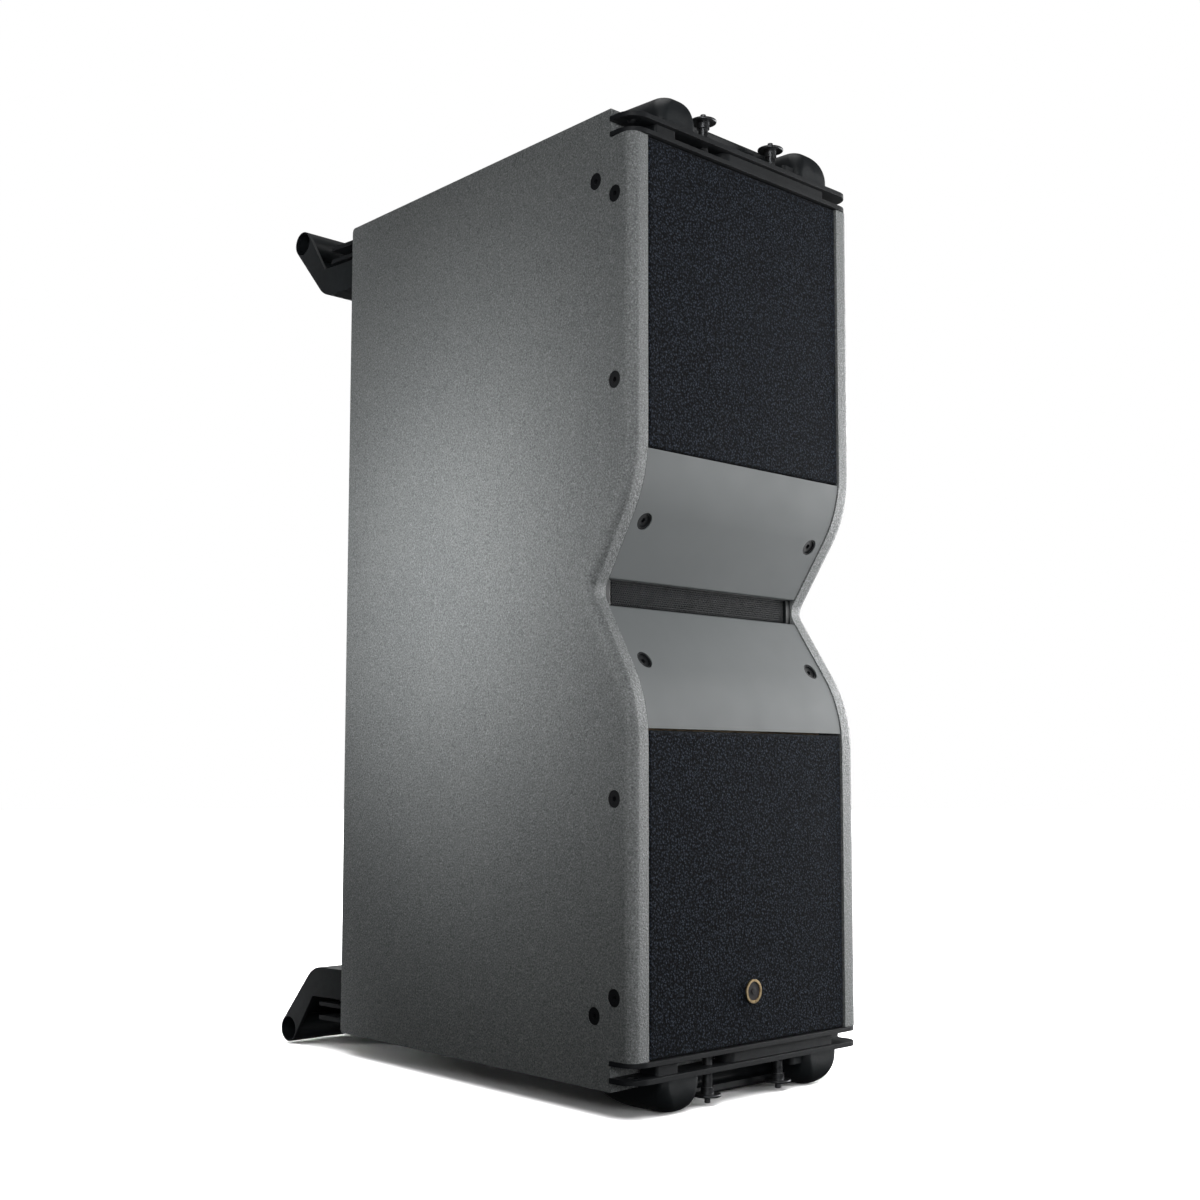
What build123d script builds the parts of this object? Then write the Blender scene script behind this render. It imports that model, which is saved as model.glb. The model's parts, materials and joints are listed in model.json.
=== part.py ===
from build123d import *
import os
from math import sin, cos, tan, radians, sqrt

# Line array loudspeaker element, stood on end.
# +X to the right seen from the front, +Y towards the back, +Z up along the long side.
# Each piece is drawn with y = 0 on the front rim and z = 0 at mid height, then PLACE
# puts the origin on the floor, at the middle of the footprint.

# ---- driving dimensions (mm) ----
WIDTH = 357.0            # across the front rims
LENGTH = 965.7           # wooden cabinet, end to end
DEPTH = 517.0            # front rim to back panel
TAPER = 5.0              # each side leans in by this angle towards the back
WALL = 24.0              # side panel thickness
BOARD = 18.0             # back and end panels
RIM_R = 11.0             # round on the outer front edge of a side panel
NOTCH_Y, NOTCH_Z = 30.8, 29.8     # front corner notch for the rigging plates
WAIST_SLOPE = 31.7       # angle of the waist flanks to the front plane
WAIST_APEX = 67.6        # depth where the two flanks would meet
SHOULDER_R = 143.0       # blend from the front plane to a flank
WAIST_R = 17.7           # blend between the two flanks
FIN_TOP, FIN_IN = 137.3, 13.5     # fin, from its outer to its inner edge (z)
FIN_T, FIN_SET = 5.0, 0.8         # fin thickness, set back from the rims
GRILLE_IN = 139.3        # inner edge of a grille (z)
FOOT_Z = 507.5           # tip of every foot
PLATE_IN = (453.3, 457.8)         # inner front plate, z from and to
PLATE_OUT = (468.9, 473.9)        # outer front plate
PLATE_FRONT = -3.0
ARM_Z = (458.2, 468.5)            # link arm, in the gap between the plates
PIN_R, PIN_HOLE_R = 5.0, 5.06
PIN_X, PIN_Y = 55.4, 14.0         # front locking pins
FREE_HOLE_X, FREE_HOLE_R = -162.0, 5.1
FLANGE_R, FLANGE_Z = 14.0, (497.0, 500.0)
BUTTON_R, BUTTON_TIP = 3.0, 506.3
REAR_END = 572.0                  # rear plates, furthest back
REAR_PIN_X, REAR_PIN_Y = 70.0, 545.0
REAR_HOLE_X = -110.0
FRONT_TRAVEL, REAR_TRAVEL = 77.0, 142.0   # link arms: an arm's end hole then lines up with the next element's bore
GRIP_Y, GRIP_Z, GRIP_R, GRIP_BORE = 627.0, 490.0, 15.5, 14.0
WOOFER_Z, WOOFER_R = 291.5, 148.5
SCREW_YZ = [(25.5, 205.5), (25.5, 394.0), (55.0, 414.0)]
FIN_SCREW_X, FIN_SCREW_Z = 132.5, 68.5
BADGE_Z, BADGE_R = -401.0, 12.0

HL = LENGTH / 2
HW = WIDTH / 2
TT = tan(radians(TAPER))
CS, SN = cos(radians(WAIST_SLOPE)), sin(radians(WAIST_SLOPE))
APEX_Z = WAIST_APEX / (SN / CS)          # z where a flank would reach the front plane
ARC_Z = APEX_Z + SHOULDER_R * tan(radians(WAIST_SLOPE / 2))
BACK_Y = GRIP_Y + GRIP_R
PLACE = Location((0, -(PLATE_FRONT + BACK_Y) / 2, FOOT_Z))

os.makedirs("parts", exist_ok=True)


def xin(y):
    "half the inside width at depth y"
    return HW - WALL / cos(radians(TAPER)) - y * TT


def flank(d, z):
    "depth of the line d behind the upper flank, at height z"
    return (WAIST_APEX * CS + d - z * SN) / CS


def save(builder, label):
    placed = builder.part.moved(PLACE)
    placed.label = label
    export_step(placed, f"parts/{label}.step")


def at_flank(x, z, d=0.0, down=False):
    "plane on a flank, its normal pointing out to the front"
    s = -1 if down else 1
    return Plane(origin=(x, flank(0, z) + d * CS, s * (z + d * SN)), x_dir=(1, 0, 0), z_dir=(0, -CS, -s * SN))


# ---------------------------------------------------------------- cabinet
def side_normal(s):
    return (s * cos(radians(TAPER)), sin(radians(TAPER)), 0)


def side_plane(s, y, z, inset=0.0):
    "plane on the outer face of a side panel, s = -1 left, +1 right"
    n = side_normal(s)
    return Plane(origin=(s * (HW - y * TT) - n[0] * inset, y - n[1] * inset, z), x_dir=(0, 0, 1), z_dir=n)


with BuildPart() as left_side_panel:
    with BuildSketch(Plane.YZ.offset(-HW - 15)) as outline_yz:
        with BuildLine():
            Polyline(
                (NOTCH_Y, HL), (DEPTH, HL), (DEPTH, -HL), (NOTCH_Y, -HL), (NOTCH_Y, -HL + NOTCH_Z),
                (0, -HL + NOTCH_Z), (0, -APEX_Z), (WAIST_APEX, 0), (0, APEX_Z), (0, HL - NOTCH_Z),
                (NOTCH_Y, HL - NOTCH_Z), close=True)
        make_face()
        fillet([v for v in outline_yz.vertices() if abs(v.X) < 0.01 and abs(abs(v.Y) - APEX_Z) < 0.01], SHOULDER_R)
        fillet([v for v in outline_yz.vertices() if abs(v.Y) < 0.01 and v.X < 80], WAIST_R)
        fillet([v for v in outline_yz.vertices() if v.X > DEPTH - 1], 5)
    extrude(amount=110)
    with BuildSketch(Plane.XY):
        with BuildLine():
            Polyline((-HW - 10 * TT, -10), (-HW + (DEPTH + 10) * TT, DEPTH + 10),
                     (-xin(DEPTH + 10), DEPTH + 10), (-xin(-10), -10), close=True)
        make_face()
    extrude(amount=HL + 20, both=True, mode=Mode.INTERSECT)
    n = side_normal(-1)
    rim = []
    for e in left_side_panel.edges():
        ok = True
        for t in (0.02, 0.5, 0.98):
            p = e @ t
            off = (p.X + HW) * n[0] + p.Y * n[1]
            ok = ok and abs(off) < 0.02 and p.Y < 70 and abs(p.Z) < HL - NOTCH_Z + 0.01
        p = e @ 0.5
        if ok and abs(p.Z) < HL - NOTCH_Z - 0.5:
            rim.append(e)
    fillet(rim, RIM_R)
    for sz in (-1, 1):
        for y, z in SCREW_YZ:
            with BuildSketch(side_plane(-1, y, sz * z)):
                Circle(8.8)
            extrude(amount=-3.2, mode=Mode.SUBTRACT)
            with BuildSketch(side_plane(-1, y, sz * z)):
                Circle(4.1)
            extrude(amount=-22.0, mode=Mode.SUBTRACT)
save(left_side_panel, "left_side_panel")

with BuildPart() as right_side_panel:
    mirror(left_side_panel.part, about=Plane.YZ)
save(right_side_panel, "right_side_panel")


def between_sides(y0, y1, gap=0.05):
    "plan outline between the side panels, from depth y0 to y1"
    return [(-xin(y0) + gap, y0), (xin(y0) - gap, y0), (xin(y1) - gap, y1), (-xin(y1) + gap, y1)]


with BuildPart() as top_end_panel:
    with BuildSketch(Plane.YZ):
        with BuildLine():
            Polyline((14, HL - NOTCH_Z), (NOTCH_Y, HL - NOTCH_Z), (NOTCH_Y, HL), (DEPTH - BOARD - 0.05, HL),
                     (DEPTH - BOARD - 0.05, HL - BOARD), (NOTCH_Y + 12, HL - BOARD), (NOTCH_Y + 12, HL - NOTCH_Z - 12),
                     (14, HL - NOTCH_Z - 12), close=True)
        make_face()
    extrude(amount=HW, both=True)
    with BuildSketch(Plane.XY):
        with BuildLine():
            Polyline(*between_sides(0, DEPTH), close=True)
        make_face()
    extrude(amount=HL + 20, mode=Mode.INTERSECT)
save(top_end_panel, "top_end_panel")

with BuildPart() as bottom_end_panel:
    mirror(top_end_panel.part, about=Plane.XY)
save(bottom_end_panel, "bottom_end_panel")

with BuildPart() as back_panel:
    with BuildSketch(Plane.XY):
        with BuildLine():
            Polyline(*between_sides(DEPTH - BOARD, DEPTH), close=True)
        make_face()
    extrude(amount=HL, both=True)
    with BuildSketch(Plane.XZ.offset(-DEPTH - 1)):
        Rectangle(150, 84)
    extrude(amount=BOARD + 2, mode=Mode.SUBTRACT)
save(back_panel, "back_panel")

with BuildPart() as woofer_baffles:
    with BuildSketch(Plane.XY.offset(142.6)):
        with BuildLine():
            Polyline(*between_sides(30, 48), close=True)
        make_face()
    extrude(amount=HL - NOTCH_Z - 12 - 0.1 - 142.6)
    with BuildSketch(Plane.XZ.offset(-49)):
        with Locations((0, WOOFER_Z)):
            Circle(136.6)
    extrude(amount=20, mode=Mode.SUBTRACT)
    mirror(woofer_baffles.part, about=Plane.XY)
save(woofer_baffles, "woofer_baffles")

MID_X, MID_Z, MID_R, MID_D = 74.0, 57.5, 66.0, 40.0   # mid drivers: place, frame radius, depth behind the flank

with BuildPart() as mid_baffles:
    with BuildSketch(Plane.YZ):
        with BuildLine():
            Polyline((30, (WAIST_APEX * CS + MID_D - 30 * CS) / SN), (30, 142.3), (flank(MID_D + 12, 142.3), 142.3),
                     (flank(MID_D + 12, 20), 20), (flank(MID_D, 20), 20), close=True)
        make_face()
    extrude(amount=HW, both=True)
    with BuildSketch(Plane.XY):
        with BuildLine():
            Polyline(*between_sides(10, 130), close=True)
        make_face()
    extrude(amount=200, mode=Mode.INTERSECT)
    for x in (-MID_X, MID_X):
        with BuildSketch(at_flank(x, MID_Z, MID_D - 1)):
            Circle(58.3)
        extrude(amount=-30, mode=Mode.SUBTRACT)
    mirror(mid_baffles.part, about=Plane.XY)
save(mid_baffles, "mid_baffles")

with BuildPart() as internal_braces:
    with BuildSketch(Plane.XY.offset(150)):
        with BuildLine():
            Polyline(*between_sides(185, DEPTH - BOARD - 0.1), close=True)
        make_face()
        with Locations((0, 345)):
            RectangleRounded(150, 200, 30, mode=Mode.SUBTRACT)
    extrude(amount=12)
    mirror(internal_braces.part, about=Plane.XY)
save(internal_braces, "internal_braces")

# ---------------------------------------------------------------- grilles
with BuildPart() as upper_grille_frame:
    with BuildSketch(Plane.XZ.offset(-13)):
        with Locations((0, (GRILLE_IN + 452.6) / 2)):
            Rectangle(2 * 152.8, 452.6 - GRILLE_IN)
            with GridLocations(58.6, 60.2, 5, 5):
                RectangleRounded(50, 52, 6, mode=Mode.SUBTRACT)
    extrude(amount=2.5)
save(upper_grille_frame, "upper_grille_frame")

with BuildPart() as lower_grille_frame:
    mirror(upper_grille_frame.part, about=Plane.XY)
save(lower_grille_frame, "lower_grille_frame")

with BuildPart() as upper_grille_foam:
    with BuildSketch(Plane.XZ.offset(-10.4)):
        with Locations((0, (GRILLE_IN + 452.6) / 2)):
            Rectangle(2 * 153.1, 452.6 - GRILLE_IN)
    extrude(amount=9.8)
    fillet(upper_grille_foam.faces().sort_by(Axis.Y)[0].edges(), 1.2)
save(upper_grille_foam, "upper_grille_foam")

with BuildPart() as lower_grille_foam:
    mirror(upper_grille_foam.part, about=Plane.XY)
save(lower_grille_foam, "lower_grille_foam")

with BuildPart() as grille_badge:
    with BuildSketch(Plane.XZ.offset(-0.55)):
        with Locations((0, BADGE_Z)):
            Circle(BADGE_R)
    extrude(amount=1.0)
    with BuildSketch(Plane.XZ.offset(0.45)):
        with Locations((0, BADGE_Z)):
            Circle(BADGE_R)
            Circle(BADGE_R - 2.4, mode=Mode.SUBTRACT)
            Circle(3.2)
    extrude(amount=0.8)
save(grille_badge, "grille_badge")

# ---------------------------------------------------------------- fins
HINGE_Y, HINGE_Z = 12.5, 131.0


def arc_point(r, z):
    "point at height z on a circle of radius r about the shoulder's centre"
    return (SHOULDER_R - sqrt(r * r - (ARC_Z - z) ** 2), z)


def arc_end(r):
    return (SHOULDER_R - r * CS, ARC_Z - r * SN)


def arc_mid(r, z0):
    zm = (z0 + arc_end(r)[1]) / 2
    return arc_point(r, zm)


with BuildPart() as upper_fin:
    ro, ri = SHOULDER_R - FIN_SET, SHOULDER_R - FIN_SET - FIN_T
    with BuildSketch(Plane.YZ) as fin_yz:
        with BuildLine():
            ThreePointArc(arc_point(ro, FIN_TOP), arc_mid(ro, FIN_TOP), arc_end(ro))
            Polyline(arc_end(ro), (flank(FIN_SET, FIN_IN), FIN_IN), (65.4, FIN_IN), (65.4, 17.2),
                     (flank(FIN_SET + FIN_T, 17.2), 17.2), arc_end(ri))
            ThreePointArc(arc_end(ri), arc_mid(ri, FIN_TOP), arc_point(ri, FIN_TOP))
            Line(arc_point(ri, FIN_TOP), arc_point(ro, FIN_TOP))
        make_face()
        fillet([v for v in fin_yz.vertices() if abs(v.Y - FIN_IN) < 0.01 and v.X < 63], 3.0)
    extrude(amount=HW, both=True)
    with BuildSketch(Plane.XY):
        with BuildLine():
            Polyline(*between_sides(-5, 80, gap=1.1), close=True)
        make_face()
    extrude(amount=200, mode=Mode.INTERSECT)
    for x in (-151.0, 141.0):
        with BuildSketch(Plane.YZ.offset(x)):
            with Locations((HINGE_Y, HINGE_Z)):
                Circle(5.6)
            Polygon((arc_point(ri - -1.0, 136.0)), (HINGE_Y + 2, 136.4), (HINGE_Y + 2, 124), arc_point(ri + 1.0, 122.0), align=None)
        extrude(amount=10)
    with BuildSketch(Plane.YZ.offset(-160)):
        with Locations((HINGE_Y, HINGE_Z)):
            Circle(3.05)
    extrude(amount=320, mode=Mode.SUBTRACT)
    for x in (-FIN_SCREW_X, FIN_SCREW_X):
        with BuildSketch(at_flank(x, FIN_SCREW_Z, -2)):
            Circle(9.5)
        extrude(amount=-14, mode=Mode.SUBTRACT)
save(upper_fin, "upper_fin")

with BuildPart() as lower_fin:
    mirror(upper_fin.part, about=Plane.XY)
save(lower_fin, "lower_fin")

with BuildPart() as fin_hinge_pins:
    for z in (-HINGE_Z, HINGE_Z):
        for x0, x1 in ((-152.9, -139.5), (139.5, 152.9)):
            with BuildSketch(Plane.YZ.offset(x0)):
                with Locations((HINGE_Y, z)):
                    Circle(3.0)
            extrude(amount=x1 - x0)
save(fin_hinge_pins, "fin_hinge_pins")


def fin_screw(x, down):
    "quarter-turn captive screw: cup head, hexagon socket, shank"
    with BuildPart() as screw:
        with BuildSketch(at_flank(x, FIN_SCREW_Z, FIN_SET + 1.0, down)):
            Circle(9.45)
        extrude(amount=-6.0)
        with BuildSketch(at_flank(x, FIN_SCREW_Z, FIN_SET + 1.0, down)):
            Circle(7.6)
        extrude(amount=-1.4, mode=Mode.SUBTRACT)
        with BuildSketch(at_flank(x, FIN_SCREW_Z, FIN_SET + 2.4, down)):
            RegularPolygon(2.9, 6)
        extrude(amount=-3.2, mode=Mode.SUBTRACT)
        with BuildSketch(at_flank(x, FIN_SCREW_Z, FIN_SET + 7.0, down)):
            Circle(4.0)
        extrude(amount=-13.0)
    return screw


for label, x, down in (("upper_left_fin_screw", -FIN_SCREW_X, False), ("upper_right_fin_screw", FIN_SCREW_X, False),
                       ("lower_left_fin_screw", -FIN_SCREW_X, True), ("lower_right_fin_screw", FIN_SCREW_X, True)):
    save(fin_screw(x, down), label)

# ---------------------------------------------------------------- slot and high-frequency section
with BuildPart() as slot_frame:
    with BuildSketch(Plane.XZ.offset(-70)):
        Rectangle(2 * (xin(70) - 0.1), 33)
        Rectangle(281, 25, mode=Mode.SUBTRACT)
    extrude(amount=4)
save(slot_frame, "slot_frame")

with BuildPart() as slot_mesh:
    with BuildSketch(Plane.XZ.offset(-69.2)):
        Rectangle(280.6, 24.6)
    extrude(amount=1.0)
save(slot_mesh, "slot_mesh")

with BuildPart() as waveguide:
    with BuildSketch(Plane.XY):
        with BuildLine():
            Polyline((-143, 70.2), (143, 70.2), (60, 296), (-60, 296), close=True)
        make_face()
    extrude(amount=16.5, both=True)
    with BuildSketch(Plane.XY):
        with BuildLine():
            Polyline((-138, 70.1), (138, 70.1), (24, 290), (24, 296.1), (-24, 296.1), (-24, 290), close=True)
        make_face()
    extrude(amount=11.0, both=True, mode=Mode.SUBTRACT)
save(waveguide, "waveguide")

with BuildPart() as compression_driver:
    with BuildSketch(Plane.XZ.offset(-296.3)):
        Circle(48)
    extrude(amount=-12)
    with BuildSketch(Plane.XZ.offset(-308.3)):
        Circle(76)
    extrude(amount=-52)
    with BuildSketch(Plane.XZ.offset(-360.3)):
        Circle(58)
    extrude(amount=-12)
    with BuildSketch(Plane.XZ.offset(-296.3)):
        Circle(18)
    extrude(amount=-30, mode=Mode.SUBTRACT)
    fillet(compression_driver.edges().filter_by(GeomType.CIRCLE).sort_by(Axis.Y)[-1], 3)
save(compression_driver, "compression_driver")


def ring_profile(points, cx, cz):
    "closed profile (radius, depth) turned about the Y axis through (cx, cz)"
    with BuildPart() as turned:
        with BuildSketch(Plane(origin=(cx, 0, cz), x_dir=(1, 0, 0), z_dir=(0, 0, 1))):
            with BuildLine():
                Polyline(*points, close=True)
            make_face()
        revolve(axis=Axis((cx, 0, cz), (0, 1, 0)), revolution_arc=360)
    return turned


# ---- woofers: basket, surround, cone with dust cap and coil former, magnet
basket_pts = [(136.0, 24.3), (WOOFER_R, 24.3), (WOOFER_R, 29.9), (136.3, 29.9), (135.0, 36), (78, 118), (78, 126), (70, 126), (70, 116), (131, 34), (131, 26.5), (136.0, 26.5)]
surround_pts = [(119.2, 29.0), (119.2, 27.0), (120.6, 21.5), (123, 18.6), (126.2, 17.6), (129.4, 18.6), (131.8, 21.5), (132.6, 24.4), (135.9, 24.4), (135.9, 26.4),
                (131.0, 26.4), (129.6, 22.2), (126.2, 20.2), (123.2, 22.2), (121.4, 29.0)]
cone_pts = [(118.4, 29.0), (118.4, 31.0), (38, 78), (38, 112), (36.8, 112), (36.8, 78), (32, 69), (20, 62.5), (0, 60), (0, 58.4), (21, 61.0), (34, 68), (40, 74)]
magnet_pts = [(0, 90), (34.5, 90), (34.5, 140), (41, 140), (41, 126.3), (80, 126.3), (80, 168), (0, 168)]

upper_woofer = {name: ring_profile(pts, 0, WOOFER_Z) for name, pts in
                (("basket", basket_pts), ("surround", surround_pts), ("cone", cone_pts), ("magnet", magnet_pts))}

with BuildPart() as woofer_baskets:
    add(upper_woofer["basket"].part)
    mirror(upper_woofer["basket"].part, about=Plane.XY)
save(woofer_baskets, "woofer_baskets")

with BuildPart() as woofer_surrounds:
    add(upper_woofer["surround"].part)
    mirror(upper_woofer["surround"].part, about=Plane.XY)
save(woofer_surrounds, "woofer_surrounds")

with BuildPart() as woofer_magnets:
    add(upper_woofer["magnet"].part)
    mirror(upper_woofer["magnet"].part, about=Plane.XY)
save(woofer_magnets, "woofer_magnets")

save(upper_woofer["cone"], "upper_woofer_cone")
with BuildPart() as lower_woofer_cone:
    mirror(upper_woofer["cone"].part, about=Plane.XY)
save(lower_woofer_cone, "lower_woofer_cone")

# ---- mid drivers: frame with motor, cone
def mid_turned(points, x):
    "closed profile (radius, height in front of the mid baffle) turned about a mid driver's axis"
    base = at_flank(x, MID_Z, MID_D)
    with BuildPart() as turned:
        with BuildSketch(Plane(origin=base.origin, x_dir=base.x_dir, z_dir=base.x_dir.cross(base.z_dir))):
            with BuildLine():
                Polyline(*points, close=True)
            make_face()
        revolve(axis=Axis(base.origin, base.z_dir), revolution_arc=360)
    return turned


mid_frame_pts = [(56, 0.1), (MID_R, 0.1), (MID_R, 4.1), (54.5, 4.1), (54.5, 1.0), (30, -34), (30, -38), (14.5, -38), (14.5, -52), (0, -52), (0, -58), (38, -58), (38, -40), (34, -36), (57, -3)]
mid_cone_pts = [(53.8, 1.5), (53.8, 2.6), (17, -23), (0, -20.5), (0, -21.7), (13, -23.6), (13, -46), (14, -46), (14, -25.5)]

with BuildPart() as mid_frames:
    for x in (-MID_X, MID_X):
        add(mid_turned(mid_frame_pts, x).part)
    mirror(mid_frames.part, about=Plane.XY)
save(mid_frames, "mid_frames")

with BuildPart() as upper_mid_cones:
    for x in (-MID_X, MID_X):
        add(mid_turned(mid_cone_pts, x).part)
save(upper_mid_cones, "upper_mid_cones")

with BuildPart() as lower_mid_cones:
    mirror(upper_mid_cones.part, about=Plane.XY)
save(lower_mid_cones, "lower_mid_cones")

# ---------------------------------------------------------------- back connector
with BuildPart() as connector_plate:
    with BuildSketch(Plane.XZ.offset(-DEPTH - 0.05)):
        RectangleRounded(176, 110, 8)
        with GridLocations(60, 0, 2, 1):
            Circle(14.1, mode=Mode.SUBTRACT)
        with GridLocations(160, 94, 2, 2):
            Circle(2.2, mode=Mode.SUBTRACT)
    extrude(amount=-3)
save(connector_plate, "connector_plate")

with BuildPart() as connector_sockets:
    with BuildSketch(Plane.XZ.offset(-DEPTH + 14)):
        with GridLocations(60, 0, 2, 1):
            Circle(14.0)
    extrude(amount=-18.2)
    with BuildSketch(Plane.XZ.offset(-DEPTH - 3.1)):
        with GridLocations(60, 0, 2, 1):
            RectangleRounded(31, 36, 3)
    extrude(amount=-1.6)
    with BuildSketch(Plane.XZ.offset(-DEPTH + 11)):
        with GridLocations(60, 0, 2, 1):
            Circle(12.5)
            Circle(4.5, mode=Mode.SUBTRACT)
    extrude(amount=-18, mode=Mode.SUBTRACT)
save(connector_sockets, "connector_sockets")

with BuildPart() as plate_screws:
    for x in (-80, 80):
        for z in (-47, 47):
            with BuildSketch(Plane.XZ.offset(-DEPTH - 3.1)):
                with Locations((x, z)):
                    Circle(4.0)
            extrude(amount=-2.2)
            with BuildSketch(Plane.XZ.offset(-DEPTH - 3.8)):
                with Locations((x, z)):
                    RegularPolygon(1.7, 6)
            extrude(amount=-2.0, mode=Mode.SUBTRACT)
            with BuildSketch(Plane.XZ.offset(-DEPTH - 3.1)):
                with Locations((x, z)):
                    Circle(2.1)
            extrude(amount=3.0)
save(plate_screws, "plate_screws")

# ---------------------------------------------------------------- side screws
with BuildPart() as side_screws:
    for sx in (-1, 1):
        for sz in (-1, 1):
            for y, z in SCREW_YZ:
                with BuildSketch(side_plane(sx, y, sz * z, 0.5)):
                    Circle(8.5)
                extrude(amount=-2.6)
                with BuildSketch(side_plane(sx, y, sz * z, 3.0)):
                    Circle(4.0)
                extrude(amount=-17.0)
                with BuildSketch(side_plane(sx, y, sz * z, 0.4)):
                    RegularPolygon(2.9, 6)
                extrude(amount=-5.0, mode=Mode.SUBTRACT)
save(side_screws, "side_screws")

# ---------------------------------------------------------------- front rigging


def front_plate(z0, z1):
    with BuildPart() as plate:
        with BuildSketch(Plane.XY.offset(z0)):
            with BuildLine():
                Polyline((-HW + 0.5, NOTCH_Y - 0.4), (-HW + 0.5, PLATE_FRONT), (HW - 0.5, PLATE_FRONT),
                         (HW - 0.5, NOTCH_Y - 0.4), close=True)
            outline = make_face()
            fillet([v for v in outline.vertices() if v.Y < 0], 20)
            with Locations((-PIN_X, PIN_Y), (PIN_X, PIN_Y)):
                Circle(PIN_HOLE_R, mode=Mode.SUBTRACT)
            with Locations((FREE_HOLE_X, PIN_Y)):
                Circle(FREE_HOLE_R, mode=Mode.SUBTRACT)
        extrude(amount=z1 - z0)
    return plate


with BuildPart() as top_front_plates:
    add(front_plate(*PLATE_IN).part)
    add(front_plate(*PLATE_OUT).part)
save(top_front_plates, "top_front_plates")

with BuildPart() as bottom_front_plates:
    mirror(top_front_plates.part, about=Plane.XY)
save(bottom_front_plates, "bottom_front_plates")

# welded spacers that keep each pair of front plates apart: an end stop for the
# neighbour's link arm on the left, and a thin rail behind the stowed arm on the right
with BuildPart() as rigging_spacers:
    with BuildSketch(Plane.XY.offset(PLATE_IN[1] + 0.05)):
        with Locations((-125.5, 14)):
            RectangleRounded(31, 23, 3)
        with Locations((136, 27.8)):
            Rectangle(80, 3)
    extrude(amount=PLATE_OUT[0] - PLATE_IN[1] - 0.1)
    mirror(rigging_spacers.part, about=Plane.XY)
save(rigging_spacers, "rigging_spacers")

with BuildPart() as top_front_link_arm:
    with BuildSketch(Plane.XY.offset(ARM_Z[0])):
        with Locations((48, PIN_Y)):
            RectangleRounded(170, 24, 11)
        with Locations((128, PIN_Y)):
            Rectangle(10, 24)
        with Locations((PIN_X - FRONT_TRAVEL / 2, PIN_Y)):
            SlotCenterToCenter(FRONT_TRAVEL + 0.6, 10.8, mode=Mode.SUBTRACT)
        with Locations((118, PIN_Y)):
            Circle(FREE_HOLE_R, mode=Mode.SUBTRACT)
    extrude(amount=ARM_Z[1] - ARM_Z[0])
    chamfer(top_front_link_arm.faces().sort_by(Axis.X)[-1].edges(), 1.2)
save(top_front_link_arm, "top_front_link_arm")

with BuildPart() as bottom_front_link_arm:
    mirror(top_front_link_arm.part, about=Plane.XY)
save(bottom_front_link_arm, "bottom_front_link_arm")


def lock_pin(x, y):
    "locking pin: shaft with a turned groove, flange head with a rolled rim, bore for its button"
    with BuildPart() as pin:
        with BuildSketch(Plane.XY.offset(PLATE_IN[0] + 0.6)):
            with Locations((x, y)):
                Circle(PIN_R)
        extrude(amount=FLANGE_Z[0] - PLATE_IN[0] - 0.6)
        chamfer(pin.edges().sort_by(Axis.Z)[0], 1.0)
        with BuildSketch(Plane.XY.offset(FLANGE_Z[0])):
            with Locations((x, y)):
                Circle(FLANGE_R)
        extrude(amount=FLANGE_Z[1] - FLANGE_Z[0])
        fillet(pin.edges().filter_by(lambda e: e.geom_type == GeomType.CIRCLE and abs(e.radius - FLANGE_R) < 0.01), 1.2)
        with BuildSketch(Plane.XY.offset(FLANGE_Z[0] - 6.5)):
            with Locations((x, y)):
                Circle(6.6)
        extrude(amount=6.5)
        with BuildSketch(Plane.XY.offset(FLANGE_Z[0] - 13.5)):
            with Locations((x, y)):
                Circle(BUTTON_R + 0.05)
        extrude(amount=30, mode=Mode.SUBTRACT)
    return pin


def pin_button(x, y):
    with BuildPart() as button:
        with BuildSketch(Plane.XY.offset(FLANGE_Z[0] - 8.5)):
            with Locations((x, y)):
                Circle(BUTTON_R)
        extrude(amount=BUTTON_TIP - FLANGE_Z[0] + 8.5)
        fillet(button.edges().sort_by(Axis.Z)[-1], 0.8)
    return button


for label, x, y in (("top_left_pin", -PIN_X, PIN_Y), ("top_right_pin", PIN_X, PIN_Y), ("top_rear_pin", REAR_PIN_X, REAR_PIN_Y)):
    pin, button = lock_pin(x, y), pin_button(x, y)
    save(pin, label)
    save(button, label + "_button")
    with BuildPart() as low_pin:
        mirror(pin.part, about=Plane.XY)
    save(low_pin, label.replace("top", "bottom"))
    with BuildPart() as low_button:
        mirror(button.part, about=Plane.XY)
    save(low_button, label.replace("top", "bottom") + "_button")

# front bumper: two domed feet and a body between them with a lip to grip
# height above mid, middle and half width in X, front and back in Y, corner radius
FOOT_SECTIONS = [(PLATE_OUT[1] + 0.05, 110.0, 27.5, -2.6, 94.0, 9.0), (484.0, 110.0, 27.2, -2.5, 93.4, 10.0),
                 (492.0, 109.3, 25.8, -1.6, 90.5, 12.0), (498.0, 108.3, 23.3, 0.5, 85.0, 13.0),
                 (502.5, 107.2, 19.6, 3.8, 77.0, 13.0), (505.8, 106.2, 14.6, 8.4, 67.0, 11.5),
                 (FOOT_Z, 105.4, 9.6, 13.2, 57.0, 8.5)]
with BuildPart() as foot:
    for z, cx, hw, y0, y1, r in FOOT_SECTIONS:
        with BuildSketch(Plane.XY.offset(z)):
            with Locations((cx, (y0 + y1) / 2)):
                RectangleRounded(2 * hw, y1 - y0, r)
    loft()

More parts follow.
